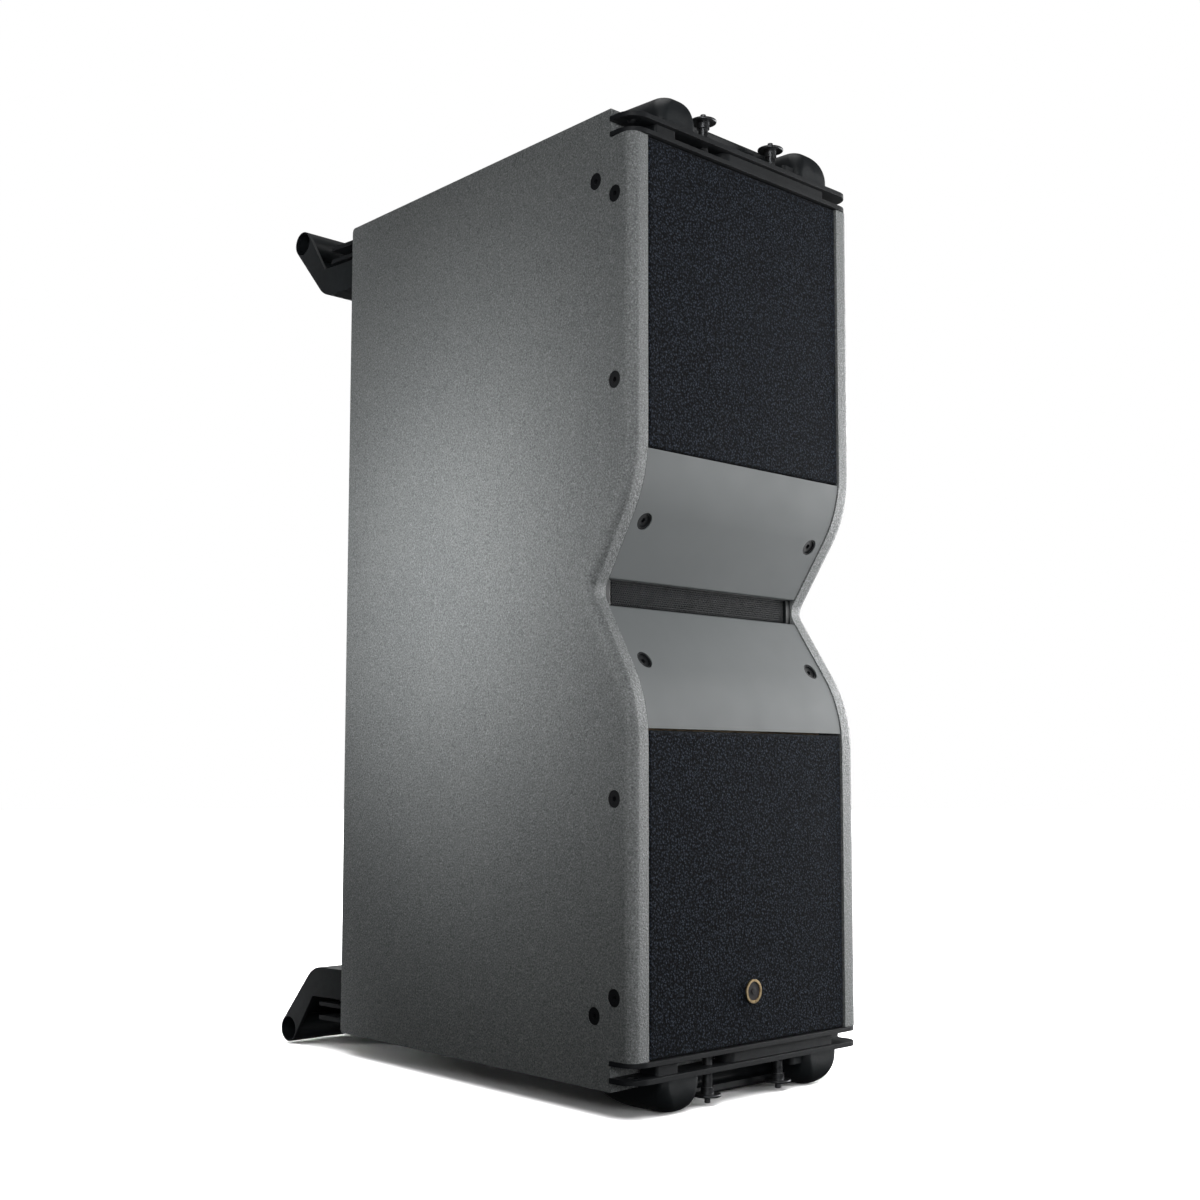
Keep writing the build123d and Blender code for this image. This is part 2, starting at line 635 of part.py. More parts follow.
with BuildPart() as top_front_bumper:
    add(foot.part)
    mirror(foot.part, about=Plane.YZ)
    with BuildSketch(Plane.YZ.offset(-110)) as body_yz:
        with BuildLine():
            Polyline((46, HL + 0.05), (46, 495), (36, 496.5), (35, 503), (39, 505), (58, 503), (90, 490), (90, HL + 0.05), close=True)
        make_face()
        fillet([v for v in body_yz.vertices() if (v.Y > 502 and v.X < 40)], 1.8)
        fillet([v for v in body_yz.vertices() if v.Y > 494 and (abs(v.X - 46) < 0.1 or abs(v.X - 58) < 0.1)], 4)
    extrude(amount=220)
    with BuildSketch(Plane.XY.offset(PLATE_OUT[1] + 0.05)):
        with Locations((76, 13)):
            RectangleRounded(20, 18, 4)
    extrude(amount=9)
    with BuildSketch(Plane.XY.offset(HL + 0.05)):
        with Locations((0, 70)):
            Rectangle(320, (70 - NOTCH_Y + 0.2) * 2)
    extrude(amount=-40, mode=Mode.SUBTRACT)
save(top_front_bumper, "top_front_bumper")

with BuildPart() as bottom_front_bumper:
    mirror(top_front_bumper.part, about=Plane.XY)
save(bottom_front_bumper, "bottom_front_bumper")

# ---------------------------------------------------------------- rear rigging
with BuildPart() as rear_plates:
    for z0, z1 in (PLATE_IN, PLATE_OUT):
        with BuildSketch(Plane.XY.offset(z0)):
            with Locations((0, (DEPTH + REAR_END) / 2)):
                RectangleRounded(250, REAR_END - DEPTH - 0.1, 0.6)
            with Locations((REAR_PIN_X, REAR_PIN_Y)):
                Circle(PIN_HOLE_R, mode=Mode.SUBTRACT)
            with Locations((REAR_HOLE_X, REAR_PIN_Y)):
                Circle(FREE_HOLE_R, mode=Mode.SUBTRACT)
        extrude(amount=z1 - z0)
    with BuildSketch(Plane.XY.offset(PLATE_IN[1] - 1)):
        with Locations((0, DEPTH + 3.05)):
            Rectangle(180, 6)
    extrude(amount=PLATE_OUT[0] - PLATE_IN[1] + 2)
    mirror(rear_plates.part, about=Plane.XY)
save(rear_plates, "rear_plates")

with BuildPart() as top_rear_link_arm:
    with BuildSketch(Plane.XY.offset(ARM_Z[0])):
        with Locations((16.5, REAR_PIN_Y)):
            RectangleRounded(207, 26, 12)
        with Locations((REAR_PIN_X - REAR_TRAVEL / 2, REAR_PIN_Y)):
            SlotCenterToCenter(REAR_TRAVEL + 0.6, 10.8, mode=Mode.SUBTRACT)
        with Locations((105, REAR_PIN_Y)):
            Circle(FREE_HOLE_R, mode=Mode.SUBTRACT)
    extrude(amount=ARM_Z[1] - ARM_Z[0])
save(top_rear_link_arm, "top_rear_link_arm")

with BuildPart() as bottom_rear_link_arm:
    mirror(top_rear_link_arm.part, about=Plane.XY)
save(bottom_rear_link_arm, "bottom_rear_link_arm")

# rear bumper: two thin cheeks and a bent web that carry a hollow grip tube across the back
with BuildPart() as top_rear_bumper:
    for x0 in (-130, 126):
        with BuildSketch(Plane.YZ.offset(x0)) as cheek_yz:
            with BuildLine():
                Polyline((DEPTH + 0.1, 411.5), (578.3, 411.5), (GRIP_Y + 11.6, GRIP_Z - 10.2), (GRIP_Y, GRIP_Z),
                         (GRIP_Y - 12.4, GRIP_Z + 9.2), (578.5, 446.5), (DEPTH + 0.1, 446.5), close=True)
            make_face()
            fillet([v for v in cheek_yz.vertices() if abs(v.X - 578.3) < 0.1 and v.Y < 412], 35)
            fillet([v for v in cheek_yz.vertices() if abs(v.X - 578.5) < 0.1 and v.Y > 440], 3)
        extrude(amount=4)
    with BuildSketch(Plane.YZ.offset(-128)) as web_yz:
        with BuildLine():
            Polyline((DEPTH + 0.1, 411.5), (578.3, 411.5), (GRIP_Y + 11.6, GRIP_Z - 10.2), (GRIP_Y + 8, GRIP_Z - 6),
                     (575.8, 415.5), (DEPTH + 0.1, 415.5), close=True)
        make_face()
        fillet([v for v in web_yz.vertices() if abs(v.X - 575.8) < 0.1 and v.Y > 412], 31)
        fillet([v for v in web_yz.vertices() if abs(v.X - 578.3) < 0.1 and v.Y < 412], 35)
    extrude(amount=256)
    with BuildSketch(Plane.YZ.offset(-130)):
        with Locations((GRIP_Y, GRIP_Z)):
            Circle(GRIP_R)
    extrude(amount=260)
    with BuildSketch(Plane.YZ.offset(-131)):
        with Locations((GRIP_Y, GRIP_Z)):
            Circle(GRIP_BORE)
    extrude(amount=262, mode=Mode.SUBTRACT)
save(top_rear_bumper, "top_rear_bumper")

with BuildPart() as bottom_rear_bumper:
    mirror(top_rear_bumper.part, about=Plane.XY)
save(bottom_rear_bumper, "bottom_rear_bumper")

print("footprint", WIDTH, BACK_Y - PLATE_FRONT, "height", 2 * FOOT_Z)
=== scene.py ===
import bpy
import bmesh
import json
import math
import random
from mathutils import Matrix, Vector, noise


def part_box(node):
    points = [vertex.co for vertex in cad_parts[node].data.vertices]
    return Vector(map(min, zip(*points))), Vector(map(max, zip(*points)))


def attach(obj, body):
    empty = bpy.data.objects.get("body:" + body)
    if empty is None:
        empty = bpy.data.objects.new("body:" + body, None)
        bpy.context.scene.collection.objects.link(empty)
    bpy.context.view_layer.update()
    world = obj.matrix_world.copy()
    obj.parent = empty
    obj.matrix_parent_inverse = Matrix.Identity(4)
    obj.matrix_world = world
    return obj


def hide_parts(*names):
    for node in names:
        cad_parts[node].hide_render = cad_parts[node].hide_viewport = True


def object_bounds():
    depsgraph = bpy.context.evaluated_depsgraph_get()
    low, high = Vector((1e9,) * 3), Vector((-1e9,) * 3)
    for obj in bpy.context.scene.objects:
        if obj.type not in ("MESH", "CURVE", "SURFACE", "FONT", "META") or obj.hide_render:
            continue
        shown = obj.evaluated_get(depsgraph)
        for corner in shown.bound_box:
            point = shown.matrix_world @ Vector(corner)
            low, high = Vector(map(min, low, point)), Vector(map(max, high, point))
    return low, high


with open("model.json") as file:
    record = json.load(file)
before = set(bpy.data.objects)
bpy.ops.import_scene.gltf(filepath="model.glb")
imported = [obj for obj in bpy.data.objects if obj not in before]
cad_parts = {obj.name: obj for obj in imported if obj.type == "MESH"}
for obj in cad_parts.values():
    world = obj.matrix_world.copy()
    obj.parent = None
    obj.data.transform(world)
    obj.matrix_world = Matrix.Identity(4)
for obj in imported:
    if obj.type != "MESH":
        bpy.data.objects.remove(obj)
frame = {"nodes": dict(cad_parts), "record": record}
cad_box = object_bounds()
NODES = frame["nodes"]
random.seed(7)

PLATE_FRONT, BACK_Y = -3.0, 642.5
FOOT_Z = (cad_box[1].z - cad_box[0].z) * 500
YC = (PLATE_FRONT + BACK_Y) / 2


def P(x, y, z):
    "millimetres from the front plane and mid height, to the frame in metres"
    return Vector((x / 1000, (y - YC) / 1000, (z + FOOT_Z) / 1000))


# ------------------------------------------------------------------ materials
class Mat:
    "a small builder of procedural node materials"

    def __init__(self, name):
        self.m = bpy.data.materials.new(name)
        self.m.use_nodes = True
        self.nt = self.m.node_tree
        self.nt.nodes.clear()
        self.out = self.node("ShaderNodeOutputMaterial")
        self.bsdf = self.node("ShaderNodeBsdfPrincipled")
        self.link(self.bsdf.outputs[0], self.out.inputs[0])
        self.coord = self.node("ShaderNodeTexCoord").outputs["Object"]

    def node(self, kind, **kw):
        n = self.nt.nodes.new(kind)
        for k, v in kw.items():
            setattr(n, k, v)
        return n

    def link(self, a, b):
        self.nt.links.new(a, b)

    def set(self, **kw):
        for k, v in kw.items():
            s = self.bsdf.inputs[k.replace("_", " ")]
            s.default_value = (*v, 1.0) if isinstance(v, tuple) and len(v) == 3 and s.type == "RGBA" else v
        return self

    def mapping(self, scale):
        n = self.node("ShaderNodeMapping")
        n.inputs["Scale"].default_value = scale
        self.link(self.coord, n.inputs[0])
        return n.outputs[0]

    def noise(self, scale, detail=3.0, rough=0.5, vec=None, distortion=0.0):
        n = self.node("ShaderNodeTexNoise")
        n.inputs["Scale"].default_value = scale
        n.inputs["Detail"].default_value = detail
        n.inputs["Roughness"].default_value = rough
        n.inputs["Distortion"].default_value = distortion
        self.link(vec or self.coord, n.inputs["Vector"])
        return n.outputs[0]

    def voronoi(self, scale, feature="F1", vec=None, out="Distance", rand=1.0):
        n = self.node("ShaderNodeTexVoronoi", feature=feature)
        n.inputs["Scale"].default_value = scale
        n.inputs["Randomness"].default_value = rand
        self.link(vec or self.coord, n.inputs["Vector"])
        return n.outputs[out]

    def ramp(self, fac, stops, mode="LINEAR"):
        n = self.node("ShaderNodeValToRGB")
        n.color_ramp.interpolation = mode
        e = n.color_ramp.elements
        while len(e) < len(stops):
            e.new(0.5)
        for el, (pos, col) in zip(e, stops):
            el.position = pos
            el.color = (*col, 1.0) if isinstance(col, tuple) else (col, col, col, 1.0)
        self.link(fac, n.inputs[0])
        return n.outputs[0]

    def math(self, op, a, b=None, clamp=False):
        n = self.node("ShaderNodeMath", operation=op, use_clamp=clamp)
        for i, v in enumerate((a, b)):
            if v is None:
                continue
            if isinstance(v, (int, float)):
                n.inputs[i].default_value = v
            else:
                self.link(v, n.inputs[i])
        return n.outputs[0]

    def mix(self, fac, a, b, blend="MIX"):
        n = self.node("ShaderNodeMix", data_type="RGBA", blend_type=blend)
        for s, v in ((n.inputs[0], fac), (n.inputs[6], a), (n.inputs[7], b)):
            if isinstance(v, (int, float)):
                s.default_value = v
            elif isinstance(v, tuple):
                s.default_value = (*v, 1.0)
            else:
                self.link(v, s)
        return n.outputs[2]

    def span(self, fac, lo, hi, a=0.0, b=1.0):
        n = self.node("ShaderNodeMapRange")
        self.link(fac, n.inputs[0])
        for i, v in enumerate((a, b, lo, hi)):
            n.inputs[i + 1].default_value = v
        return n.outputs[0]

    def edge(self, radius, lo=0.04, hi=0.35):
        "mask of convex and concave edges, from the difference between the true and the rounded normal"
        bev = self.node("ShaderNodeBevel", samples=4)
        bev.inputs[0].default_value = radius
        geo = self.node("ShaderNodeNewGeometry")
        dot = self.node("ShaderNodeVectorMath", operation="DOT_PRODUCT")
        self.link(bev.outputs[0], dot.inputs[0])
        self.link(geo.outputs["Normal"], dot.inputs[1])
        inv = self.math("SUBTRACT", 1.0, dot.outputs["Value"])
        return self.span(inv, 0.0, 1.0, lo, hi)

    def bump(self, height, strength, distance, below=None):
        n = self.node("ShaderNodeBump")
        n.inputs["Strength"].default_value = strength
        n.inputs["Distance"].default_value = distance
        self.link(height, n.inputs["Height"])
        if below is not None:
            self.link(below, n.inputs["Normal"])
        return n.outputs[0]

    def to(self, out, socket):
        self.link(out, self.bsdf.inputs[socket])


def paint_textured():
    "thick sprayed coating on plywood: orange peel, fine pits and specks"
    m = Mat("textured_paint")
    big = m.noise(5.0, 4.0, 0.55)
    mid = m.noise(60.0, 3.0, 0.6)
    grain = m.noise(400.0, 3.0, 0.66)
    speck = m.noise(560.0, 3.0, 0.6)
    pits = m.voronoi(300.0)
    col = m.ramp(big, [(0.3, (0.172, 0.183, 0.184)), (0.7, (0.205, 0.216, 0.215))])
    col = m.mix(m.span(mid, 0.0, 0.35, 0.35, 0.75), col, (0.155, 0.165, 0.167))
    col = m.mix(m.span(speck, 0.0, 0.85, 0.53, 0.66), col, (0.082, 0.089, 0.093))
    col = m.mix(m.span(speck, 0.85, 0.0, 0.33, 0.48), col, (0.335, 0.348, 0.352))
    m.to(col, "Base Color")
    m.to(m.span(grain, 0.40, 0.62, 0.3, 0.7), "Roughness")
    b1 = m.bump(m.ramp(grain, [(0.25, 0.0), (0.75, 1.0)]), 0.7, 0.0009)
    b2 = m.bump(m.span(pits, 0.0, 1.0, 0.0, 0.5), 0.25, 0.0004, b1)
    m.to(m.bump(mid, 0.10, 0.0012, b2), "Normal")
    m.set(Specular_IOR_Level=0.45)
    return m.m


def paint_smooth():
    "satin sprayed metal of the fins"
    m = Mat("satin_fin_paint")
    big = m.noise(7.0, 3.0)
    fine = m.noise(1400.0, 2.0)
    col = m.ramp(big, [(0.3, (0.140, 0.151, 0.154)), (0.72, (0.153, 0.165, 0.168))])
    # edges lightened towards pale grey: partly wear, partly painted highlight
    edge_wear_and_highlight = m.edge(0.0012)
    col = m.mix(m.math("MULTIPLY", edge_wear_and_highlight, 0.35), col, (0.36, 0.37, 0.37))
    m.to(col, "Base Color")
    m.to(m.span(m.noise(35.0, 4.0), 0.56, 0.64, 0.3, 0.7), "Roughness")
    m.to(m.bump(fine, 0.12, 0.0002), "Normal")
    m.set(Specular_IOR_Level=0.35)
    return m.m


def foam():
    """open-cell acoustic foam, dark blue-black; its speckle is painted light: painted highlight on the raised
    cells and painted shade in the pores
    """
    m = Mat("acoustic_foam")
    cells = m.voronoi(400.0)
    fine = m.noise(430.0, 4.0, 0.75)
    blot = m.noise(14.0, 3.0)
    pore_relief_and_painted_light = m.math("MULTIPLY", m.span(cells, 1.0, 0.0, 0.1, 0.75), m.span(fine, 0.0, 1.4, 0.33, 0.72))
    # painted light and shade: the colour follows the bump height, brightest on raised cells (painted highlight)
    # and darkest at the pores (painted shade)
    col = m.ramp(pore_relief_and_painted_light, [(0.06, (0.0012, 0.0017, 0.0026)), (0.30, (0.0058, 0.0086, 0.0136)), (0.60, (0.038, 0.048, 0.067))])
    col = m.mix(m.span(blot, 0.0, 0.12, 0.3, 0.8), col, (0.009, 0.0118, 0.0165))
    m.to(col, "Base Color")
    m.to(m.span(fine, 0.86, 0.98, 0.3, 0.7), "Roughness")
    m.to(m.bump(pore_relief_and_painted_light, 0.75, 0.0009), "Normal")
    m.set(Specular_IOR_Level=0.1, Sheen_Weight=0.02, Sheen_Roughness=0.5)
    return m.m


def black_coat(name, base=(0.0072, 0.0084, 0.0098), rough=(0.48, 0.62), grain=900.0, strength=0.22, edge_wear_and_highlight=0.4, edge_wear_and_highlight_colour=(0.06, 0.064, 0.068), spec=0.28):
    """powder-coated or moulded black, with lightened edges that are partly wear and partly painted highlight, and
    faint scuffs
    """
    m = Mat(name)
    big = m.noise(18.0, 4.0, 0.6)
    fine = m.noise(grain, 2.0, 0.55)
    scuff = m.noise(70.0, 6.0, 0.72, distortion=0.6)
    lo = base
    hi = tuple(c * 1.55 for c in base)
    col = m.mix(m.span(big, 0.0, 1.0, 0.3, 0.7), lo, hi)
    edge = m.math("MULTIPLY", m.edge(0.0009), m.span(scuff, 0.1, 1.0, 0.38, 0.62))
    # edges lightened towards a pale grey, broken up by scuff noise: partly wear, partly painted highlight
    col = m.mix(m.math("MULTIPLY", edge, edge_wear_and_highlight), col, edge_wear_and_highlight_colour)
    col = m.mix(m.span(scuff, 0.0, 0.22, 0.62, 0.78), col, tuple(c * 2.6 for c in base))
    m.to(col, "Base Color")
    m.to(m.math("SUBTRACT", m.span(m.noise(120.0, 4.0), rough[0], rough[1], 0.3, 0.7), m.math("MULTIPLY", edge, 0.12)), "Roughness")
    m.to(m.bump(fine, strength, 0.0003), "Normal")
    m.set(Specular_IOR_Level=spec)
    return m.m


def dark_metal(name, base, rough=0.34, turn=True, centre=None):
    "blackened steel with fine turning marks"
    m = Mat(name)
    n = m.noise(260.0, 4.0, 0.6)
    lines = m.noise(1.0, 2.0, 0.5, vec=m.mapping((40.0, 40.0, 2600.0)))
    col = m.mix(m.span(n, 0.0, 1.0, 0.35, 0.65), base, tuple(min(1, c * 1.7) for c in base))
    # edges lightened towards pale grey: partly wear, partly painted highlight
    edge = m.edge(0.0006)
    col = m.mix(m.math("MULTIPLY", edge, 0.6), col, (0.38, 0.38, 0.385))
    m.to(col, "Base Color")
    m.to(m.span(n, rough - 0.07, rough + 0.1, 0.3, 0.7), "Roughness")
    m.to(m.bump(lines, 0.12 if turn else 0.02, 0.0002), "Normal")
    m.set(Metallic=0.85)
    return m.m


def plywood():
    m = Mat("birch_ply")
    grain = m.noise(1.0, 5.0, 0.6, vec=m.mapping((35.0, 14.0, 420.0)), distortion=0.8)
    plies = m.noise(1.0, 0.0, 0.5, vec=m.mapping((2.0, 600.0, 2.0)))
    col = m.ramp(grain, [(0.3, (0.42, 0.29, 0.17)), (0.55, (0.60, 0.45, 0.29)), (0.8, (0.68, 0.54, 0.37))])
    col = m.mix(m.span(plies, 0.0, 0.35, 0.5, 0.62), col, (0.30, 0.19, 0.11))
    m.to(col, "Base Color")
    m.to(m.span(grain, 0.55, 0.75, 0.3, 0.7), "Roughness")
    m.to(m.bump(grain, 0.2, 0.0004), "Normal")
    return m.m


def paper():
    m = Mat("cone_paper")
    fib = m.noise(1.0, 6.0, 0.7, vec=m.mapping((300.0, 300.0, 300.0)), distortion=1.2)
    col = m.ramp(fib, [(0.3, (0.012, 0.012, 0.012)), (0.75, (0.04, 0.039, 0.037))])
    m.to(col, "Base Color")
    m.to(m.span(fib, 0.7, 0.9, 0.3, 0.7), "Roughness")
    m.to(m.bump(fib, 0.4, 0.0005), "Normal")
    return m.m


def rubber():
    m = Mat("surround_rubber")
    f = m.noise(800.0, 2.0)
    m.to(m.ramp(m.noise(30.0, 3.0), [(0.3, 0.008), (0.7, 0.016)]), "Base Color")
    m.to(m.span(f, 0.5, 0.65, 0.3, 0.7), "Roughness")
    m.to(m.bump(f, 0.1, 0.0002), "Normal")
    return m.m


def brass():
    """a gold ring round a dark middle, set by distance from the badge centre"""
    m = Mat("badge_brass")
    lo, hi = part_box("grille_badge")
    n = m.noise(400.0, 3.0)
    brushed = m.noise(1.0, 2.0, vec=m.mapping((3500.0, 100.0, 60.0)))
    at = m.node("ShaderNodeVectorMath", operation="SUBTRACT")
    m.link(m.coord, at.inputs[0])
    at.inputs[1].default_value = (lo + hi) / 2
    flat = m.node("ShaderNodeVectorMath", operation="MULTIPLY")
    m.link(at.outputs[0], flat.inputs[0])
    flat.inputs[1].default_value = (1.0, 0.0, 1.0)
    far = m.node("ShaderNodeVectorMath", operation="LENGTH")
    m.link(flat.outputs[0], far.inputs[0])
    ring = m.span(far.outputs["Value"], 0.0, 1.0, 0.00925, 0.00945)
    gold = m.ramp(n, [(0.3, (0.50, 0.37, 0.20)), (0.7, (0.66, 0.50, 0.29))])
    m.to(m.mix(ring, (0.018, 0.016, 0.018), gold), "Base Color")
    m.to(ring, "Metallic")
    m.to(m.span(n, 0.28, 0.42, 0.3, 0.7), "Roughness")
    m.to(m.bump(brushed, 0.1, 0.0001), "Normal")
    return m.m


def cast():
    m = Mat("cast_alloy")
    n = m.noise(500.0, 3.0)
    m.to(m.ramp(m.noise(25.0, 3.0), [(0.3, 0.022), (0.7, 0.04)]), "Base Color")
    m.to(m.span(n, 0.45, 0.6, 0.3, 0.7), "Roughness")
    m.to(m.bump(n, 0.25, 0.0004), "Normal")
    m.set(Metallic=0.4)
    return m.m


M = {
    "cabinet_paint": paint_textured(),
    "fin_grey": paint_smooth(),
    "grille_foam": foam(),
    "black_steel": black_coat("black_powder_coat"),
    "black_plastic": black_coat("moulded_black", base=(0.0078, 0.0096, 0.0110), rough=(0.42, 0.56), grain=700.0, strength=0.16, edge_wear_and_highlight=0.3, spec=0.36),
    "screw_black": black_coat("black_oxide", base=(0.0062, 0.0070, 0.0080), rough=(0.44, 0.56), grain=1500.0, strength=0.08, edge_wear_and_highlight=0.35, edge_wear_and_highlight_colour=(0.05, 0.052, 0.055)),
    "mesh_steel": black_coat("mesh_steel", base=(0.0068, 0.0082, 0.0094), rough=(0.5, 0.62), edge_wear_and_highlight=0.0, spec=0.12),
    "pin_steel": dark_metal("pin_steel", (0.06, 0.062, 0.065)),
    "button_steel": dark_metal("button_steel", (0.10, 0.10, 0.105)),
    "bare_ply": plywood(),
    "cone_paper": paper(),
    "surround_rubber": rubber(),
    "badge_brass": brass(),
    "cast_alloy": cast(),
    "magnet_iron": dark_metal("magnet_iron", (0.16, 0.16, 0.17), 0.45, turn=False),
}

slot_of = {s["node"]: s["material_slot"] for s in frame["record"]["subparts"]}
for name, ob in NODES.items():
    ob.data.materials.clear()
    ob.data.materials.append(M[slot_of[name]])


def dress(ob, width, angle=28.0, segments=2):
    "weld the shells' facets, break the sharp edges, and shade smooth"
    w = ob.modifiers.new("weld", "WELD")
    w.merge_threshold = 0.00001
    b = ob.modifiers.new("edge", "BEVEL")
    b.width = width
    b.segments = segments
    b.limit_method = "ANGLE"
    b.angle_limit = math.radians(angle)
    b.harden_normals = True
    b.use_clamp_overlap = True
    n = ob.modifiers.new("normals", "WEIGHTED_NORMAL")
    n.mode = "FACE_AREA"
    n.weight = 100
    n.thresh = 0.01
    n.keep_sharp = False
    for p in ob.data.polygons:
        p.use_smooth = True


# ------------------------------------------------------------------ foam faces
def foam_slab(name, node, body):
    lo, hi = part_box(node)
    nx, nz = 190, 196
    bm = bmesh.new()
    rows = []
    x0, x1, z0, z1 = lo.x, hi.x, lo.z, hi.z
    for j in range(nz + 1):
        row = []
        for i in range(nx + 1):
            u, v = i / nx, j / nz
            x, z = x0 + (x1 - x0) * u, z0 + (z1 - z0) * v
            e = min(x - x0, x1 - x, z - z0, z1 - z)
            r = 0.0022
            round_in = 0.0 if e >= r else r - math.sqrt(max(0.0, r * r - (r - e) ** 2))
            q = Vector((x * 310, 0.3, z * 310))
            d = noise.noise(q) * 0.00022 + noise.noise(q * 2.3) * 0.00012
            d += (noise.noise(Vector((x * 14, 5.0, z * 14)))) * 0.00035
            row.append(bm.verts.new((x, lo.y + 0.00045 + round_in * 0.9 + d * (1.0 if e > r else 0.4), z)))
        rows.append(row)
    for j in range(nz):
        for i in range(nx):
            bm.faces.new((rows[j][i], rows[j][i + 1], rows[j + 1][i + 1], rows[j + 1][i]))
    ring = [rows[0][i] for i in range(nx)] + [rows[j][nx] for j in range(nz)] + \
           [rows[nz][i] for i in range(nx, 0, -1)] + [rows[j][0] for j in range(nz, 0, -1)]
    back = [bm.verts.new((v.co.x, hi.y, v.co.z)) for v in ring]
    n = len(ring)
    for i in range(n):
        bm.faces.new((ring[(i + 1) % n], ring[i], back[i], back[(i + 1) % n]))
    bm.faces.new(back)
    bmesh.ops.recalc_face_normals(bm, faces=bm.faces)
    me = bpy.data.meshes.new(name)
    bm.to_mesh(me)
    bm.free()
    ob = bpy.data.objects.new(name, me)
    bpy.context.scene.collection.objects.link(ob)
    for p in me.polygons:
        p.use_smooth = True
    me.materials.append(M["grille_foam"])
    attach(ob, body)
    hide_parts(node)
    return ob


foam_slab("upper_foam_face", "upper_grille_foam", "cabinet")
foam_slab("lower_foam_face", "lower_grille_foam", "cabinet")


# ------------------------------------------------------------------ perforated slot mesh
def perforated(name, node, body, pitch=2.6, hole=0.9):
    "staggered round holes in thin sheet, with real thickness"
    lo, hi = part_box(node)
    w, h = (hi.x - lo.x) * 1000, (hi.z - lo.z) * 1000
    rowh = pitch * math.sqrt(3) / 2
    nrow = int((h - 2.0) / rowh)
    ncol = int((w - 3.0) / pitch)
    bm = bmesh.new()
    cx, cz = (lo.x + hi.x) * 500, (lo.z + hi.z) * 500
    seen = {}

    def vert(x, z):
        k = (round(x, 3), round(z, 3))
        if k not in seen:
            seen[k] = bm.verts.new((x / 1000, lo.y + 0.0002, z / 1000))
        return seen[k]

    hexr = pitch / math.sqrt(3)
    for r in range(nrow):
        z = cz + (r - (nrow - 1) / 2) * rowh
        shift = pitch / 2 if r % 2 else 0.0
        for c in range(ncol - (1 if r % 2 else 0)):
            x = cx + (c - (ncol - 1) / 2) * pitch + shift
            outer, inner = [], []
            for k in range(6):
                a = math.radians(60 * k + 30)
                outer.append(vert(x + hexr * math.cos(a), z + hexr * math.sin(a)))
            for k in range(12):
                a = math.radians(30 * k + 30)
                inner.append(bm.verts.new(((x + hole * math.cos(a)) / 1000, lo.y + 0.0002, (z + hole * math.sin(a)) / 1000)))
            for k in range(6):
                a, b = outer[k], outer[(k + 1) % 6]
                i0, i1, i2 = inner[2 * k], inner[2 * k + 1], inner[(2 * k + 2) % 12]
                bm.faces.new((a, b, i2, i1, i0))
    me = bpy.data.meshes.new(name)
    bm.to_mesh(me)
    bm.free()
    ob = bpy.data.objects.new(name, me)
    bpy.context.scene.collection.objects.link(ob)
    s = ob.modifiers.new("thick", "SOLIDIFY")
    s.thickness = 0.0007
    s.offset = 1.0
    me.materials.append(M["mesh_steel"])
    return ob


mesh_field = perforated("slot_perforated_mesh", "slot_mesh", "cabinet")
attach(mesh_field, "cabinet")
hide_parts("slot_mesh")

# ------------------------------------------------------------------ edges of the CAD pieces
FINE = {"left_side_panel": 0.0012, "right_side_panel": 0.0012, "top_end_panel": 0.0008, "bottom_end_panel": 0.0008,
        "back_panel": 0.0008, "upper_fin": 0.0004, "lower_fin": 0.0004}
for name, ob in NODES.items():
    if ob.hide_render:
        continue
    s = slot_of[name]
    width = FINE.get(name, {"black_steel": 0.0004, "black_plastic": 0.0009, "screw_black": 0.00025,
                            "pin_steel": 0.0003, "button_steel": 0.0002}.get(s, 0.0003))
    dress(ob, width)


# ------------------------------------------------------------------ stage, light and camera
def area(name, loc, target, size, power, color=(1, 1, 1), size_y=None, spread=180.0):
    d = bpy.data.lights.new(name, "AREA")
    d.energy = power
    d.color = color
    d.shape = "RECTANGLE"
    d.size = size
    d.size_y = size_y or size
    d.spread = math.radians(spread)
    o = bpy.data.objects.new(name, d)
    bpy.context.scene.collection.objects.link(o)
    o.location = loc
    o.rotation_euler = (Vector(target) - Vector(loc)).to_track_quat("-Z", "Y").to_euler()
    o.visible_camera = False
    return o


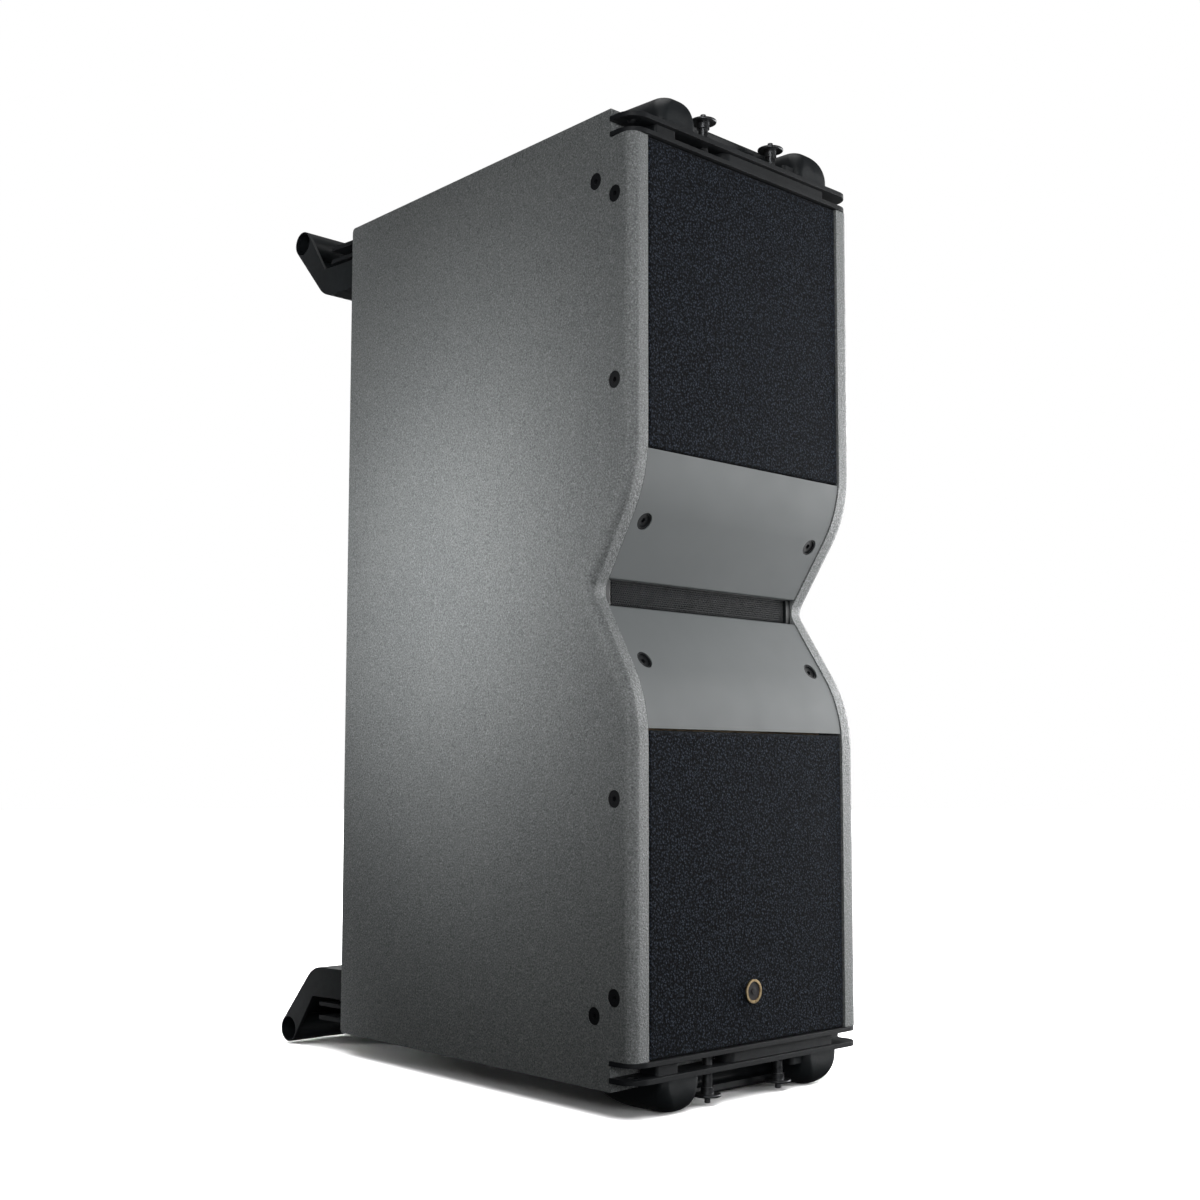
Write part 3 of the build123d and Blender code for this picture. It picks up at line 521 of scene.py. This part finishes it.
def build_stage():
    "a white floor under its own broad light, and a white surround"
    bm = bmesh.new()
    n = 64
    ring = [bm.verts.new((14 * math.cos(2 * math.pi * i / n), 14 * math.sin(2 * math.pi * i / n), -0.0005)) for i in range(n)]
    bm.faces.new(ring)
    me = bpy.data.meshes.new("floor")
    bm.to_mesh(me)
    bm.free()
    ob = bpy.data.objects.new("floor", me)
    bpy.context.scene.collection.objects.link(ob)
    m = Mat("pale_floor")
    m.to(m.ramp(m.noise(2.0, 3.0), [(0.3, (0.87, 0.87, 0.87)), (0.7, (0.89, 0.89, 0.89))]), "Base Color")
    m.set(Roughness=0.9, Specular_IOR_Level=0.1)
    me.materials.append(m.m)
    ob.visible_diffuse = False
    ob.visible_glossy = False
    d = bpy.data.lights.new("floor_light", "SUN")
    d.energy = 9.0
    d.angle = math.radians(75)
    sun = bpy.data.objects.new("floor_light", d)
    bpy.context.scene.collection.objects.link(sun)
    sun.rotation_euler = (math.radians(4), math.radians(3), 0)
    only = bpy.data.collections.new("lit_by_floor_light")
    only.objects.link(ob)
    sun.light_linking.receiver_collection = only
    w = bpy.data.worlds.new("studio")
    bpy.context.scene.world = w
    w.use_nodes = True
    nt = w.node_tree
    bg = nt.nodes["Background"]
    bg.inputs[0].default_value = (1, 1, 1, 1)
    lp = nt.nodes.new("ShaderNodeLightPath")
    mr = nt.nodes.new("ShaderNodeMapRange")
    mr.inputs[3].default_value = 0.02
    mr.inputs[4].default_value = 1.0
    nt.links.new(lp.outputs["Is Camera Ray"], mr.inputs[0])
    nt.links.new(mr.outputs[0], bg.inputs[1])


build_stage()
area("key_left", (-0.60, 0.04, 0.56), (-0.18, 0.04, 0.56), 0.30, 1.06, spread=104)
area("low_left_front", (-1.2, -1.8, 0.35), (0, -0.3, 0.75), 0.7, 1.6, spread=90)
area("left_front", (-1.7, -1.5, 1.25), (0, -0.3, 0.75), 0.9, 2.0, spread=60)
area("left_rear_low", (-0.9, 0.95, 0.30), (-0.13, 0.40, 0.04), 0.2, 0.12, spread=20)
area("left_rear_high", (-0.9, 0.95, 0.75), (-0.13, 0.40, 0.97), 0.2, 0.12, spread=20)
area("front", (0.0, -2.4, 0.7), (0, -0.3, 0.5), 1.0, 7.0)
area("right_front", (1.6, -1.8, 0.8), (0.1, -0.3, 0.5), 0.8, 16.4)
area("right_rim", (1.2, -0.6, 0.5), (0.1, -0.32, 0.5), 0.5, 14.3, size_y=1.0)
area("right", (2.0, -0.3, 0.9), (0.1, -0.1, 0.5), 0.9, 28.5)
area("top", (0, 0, 2.6), (0, 0, 0), 1.6, 12)
area("back", (0.6, 2.2, 1.2), (0, 0.3, 0.5), 1.0, 18)

cam_data = bpy.data.cameras.new("camera")
cam = bpy.data.objects.new("camera", cam_data)
bpy.context.scene.collection.objects.link(cam)
right = Vector((0.700316212, -0.713832477, 0.000630932630))
up = Vector((-0.0656424524, -0.0635193552, 0.995819441))
forward = Vector((0.710808182, 0.697429915, 0.0913413486))
rot = Matrix((right, up, -forward)).transposed()
cam.matrix_world = Matrix.Translation(P(-1320.32, -1100.44, -182.51)) @ rot.to_4x4()
cam_data.sensor_width = 36.0
cam_data.lens = 1659.79 / 1200 * 36.0
cam_data.shift_x = -16.54 / 1200
cam_data.shift_y = 22.79 / 1200
cam_data.clip_end = 100
bpy.context.scene.camera = cam
bpy.context.scene.view_settings.view_transform = "Standard"
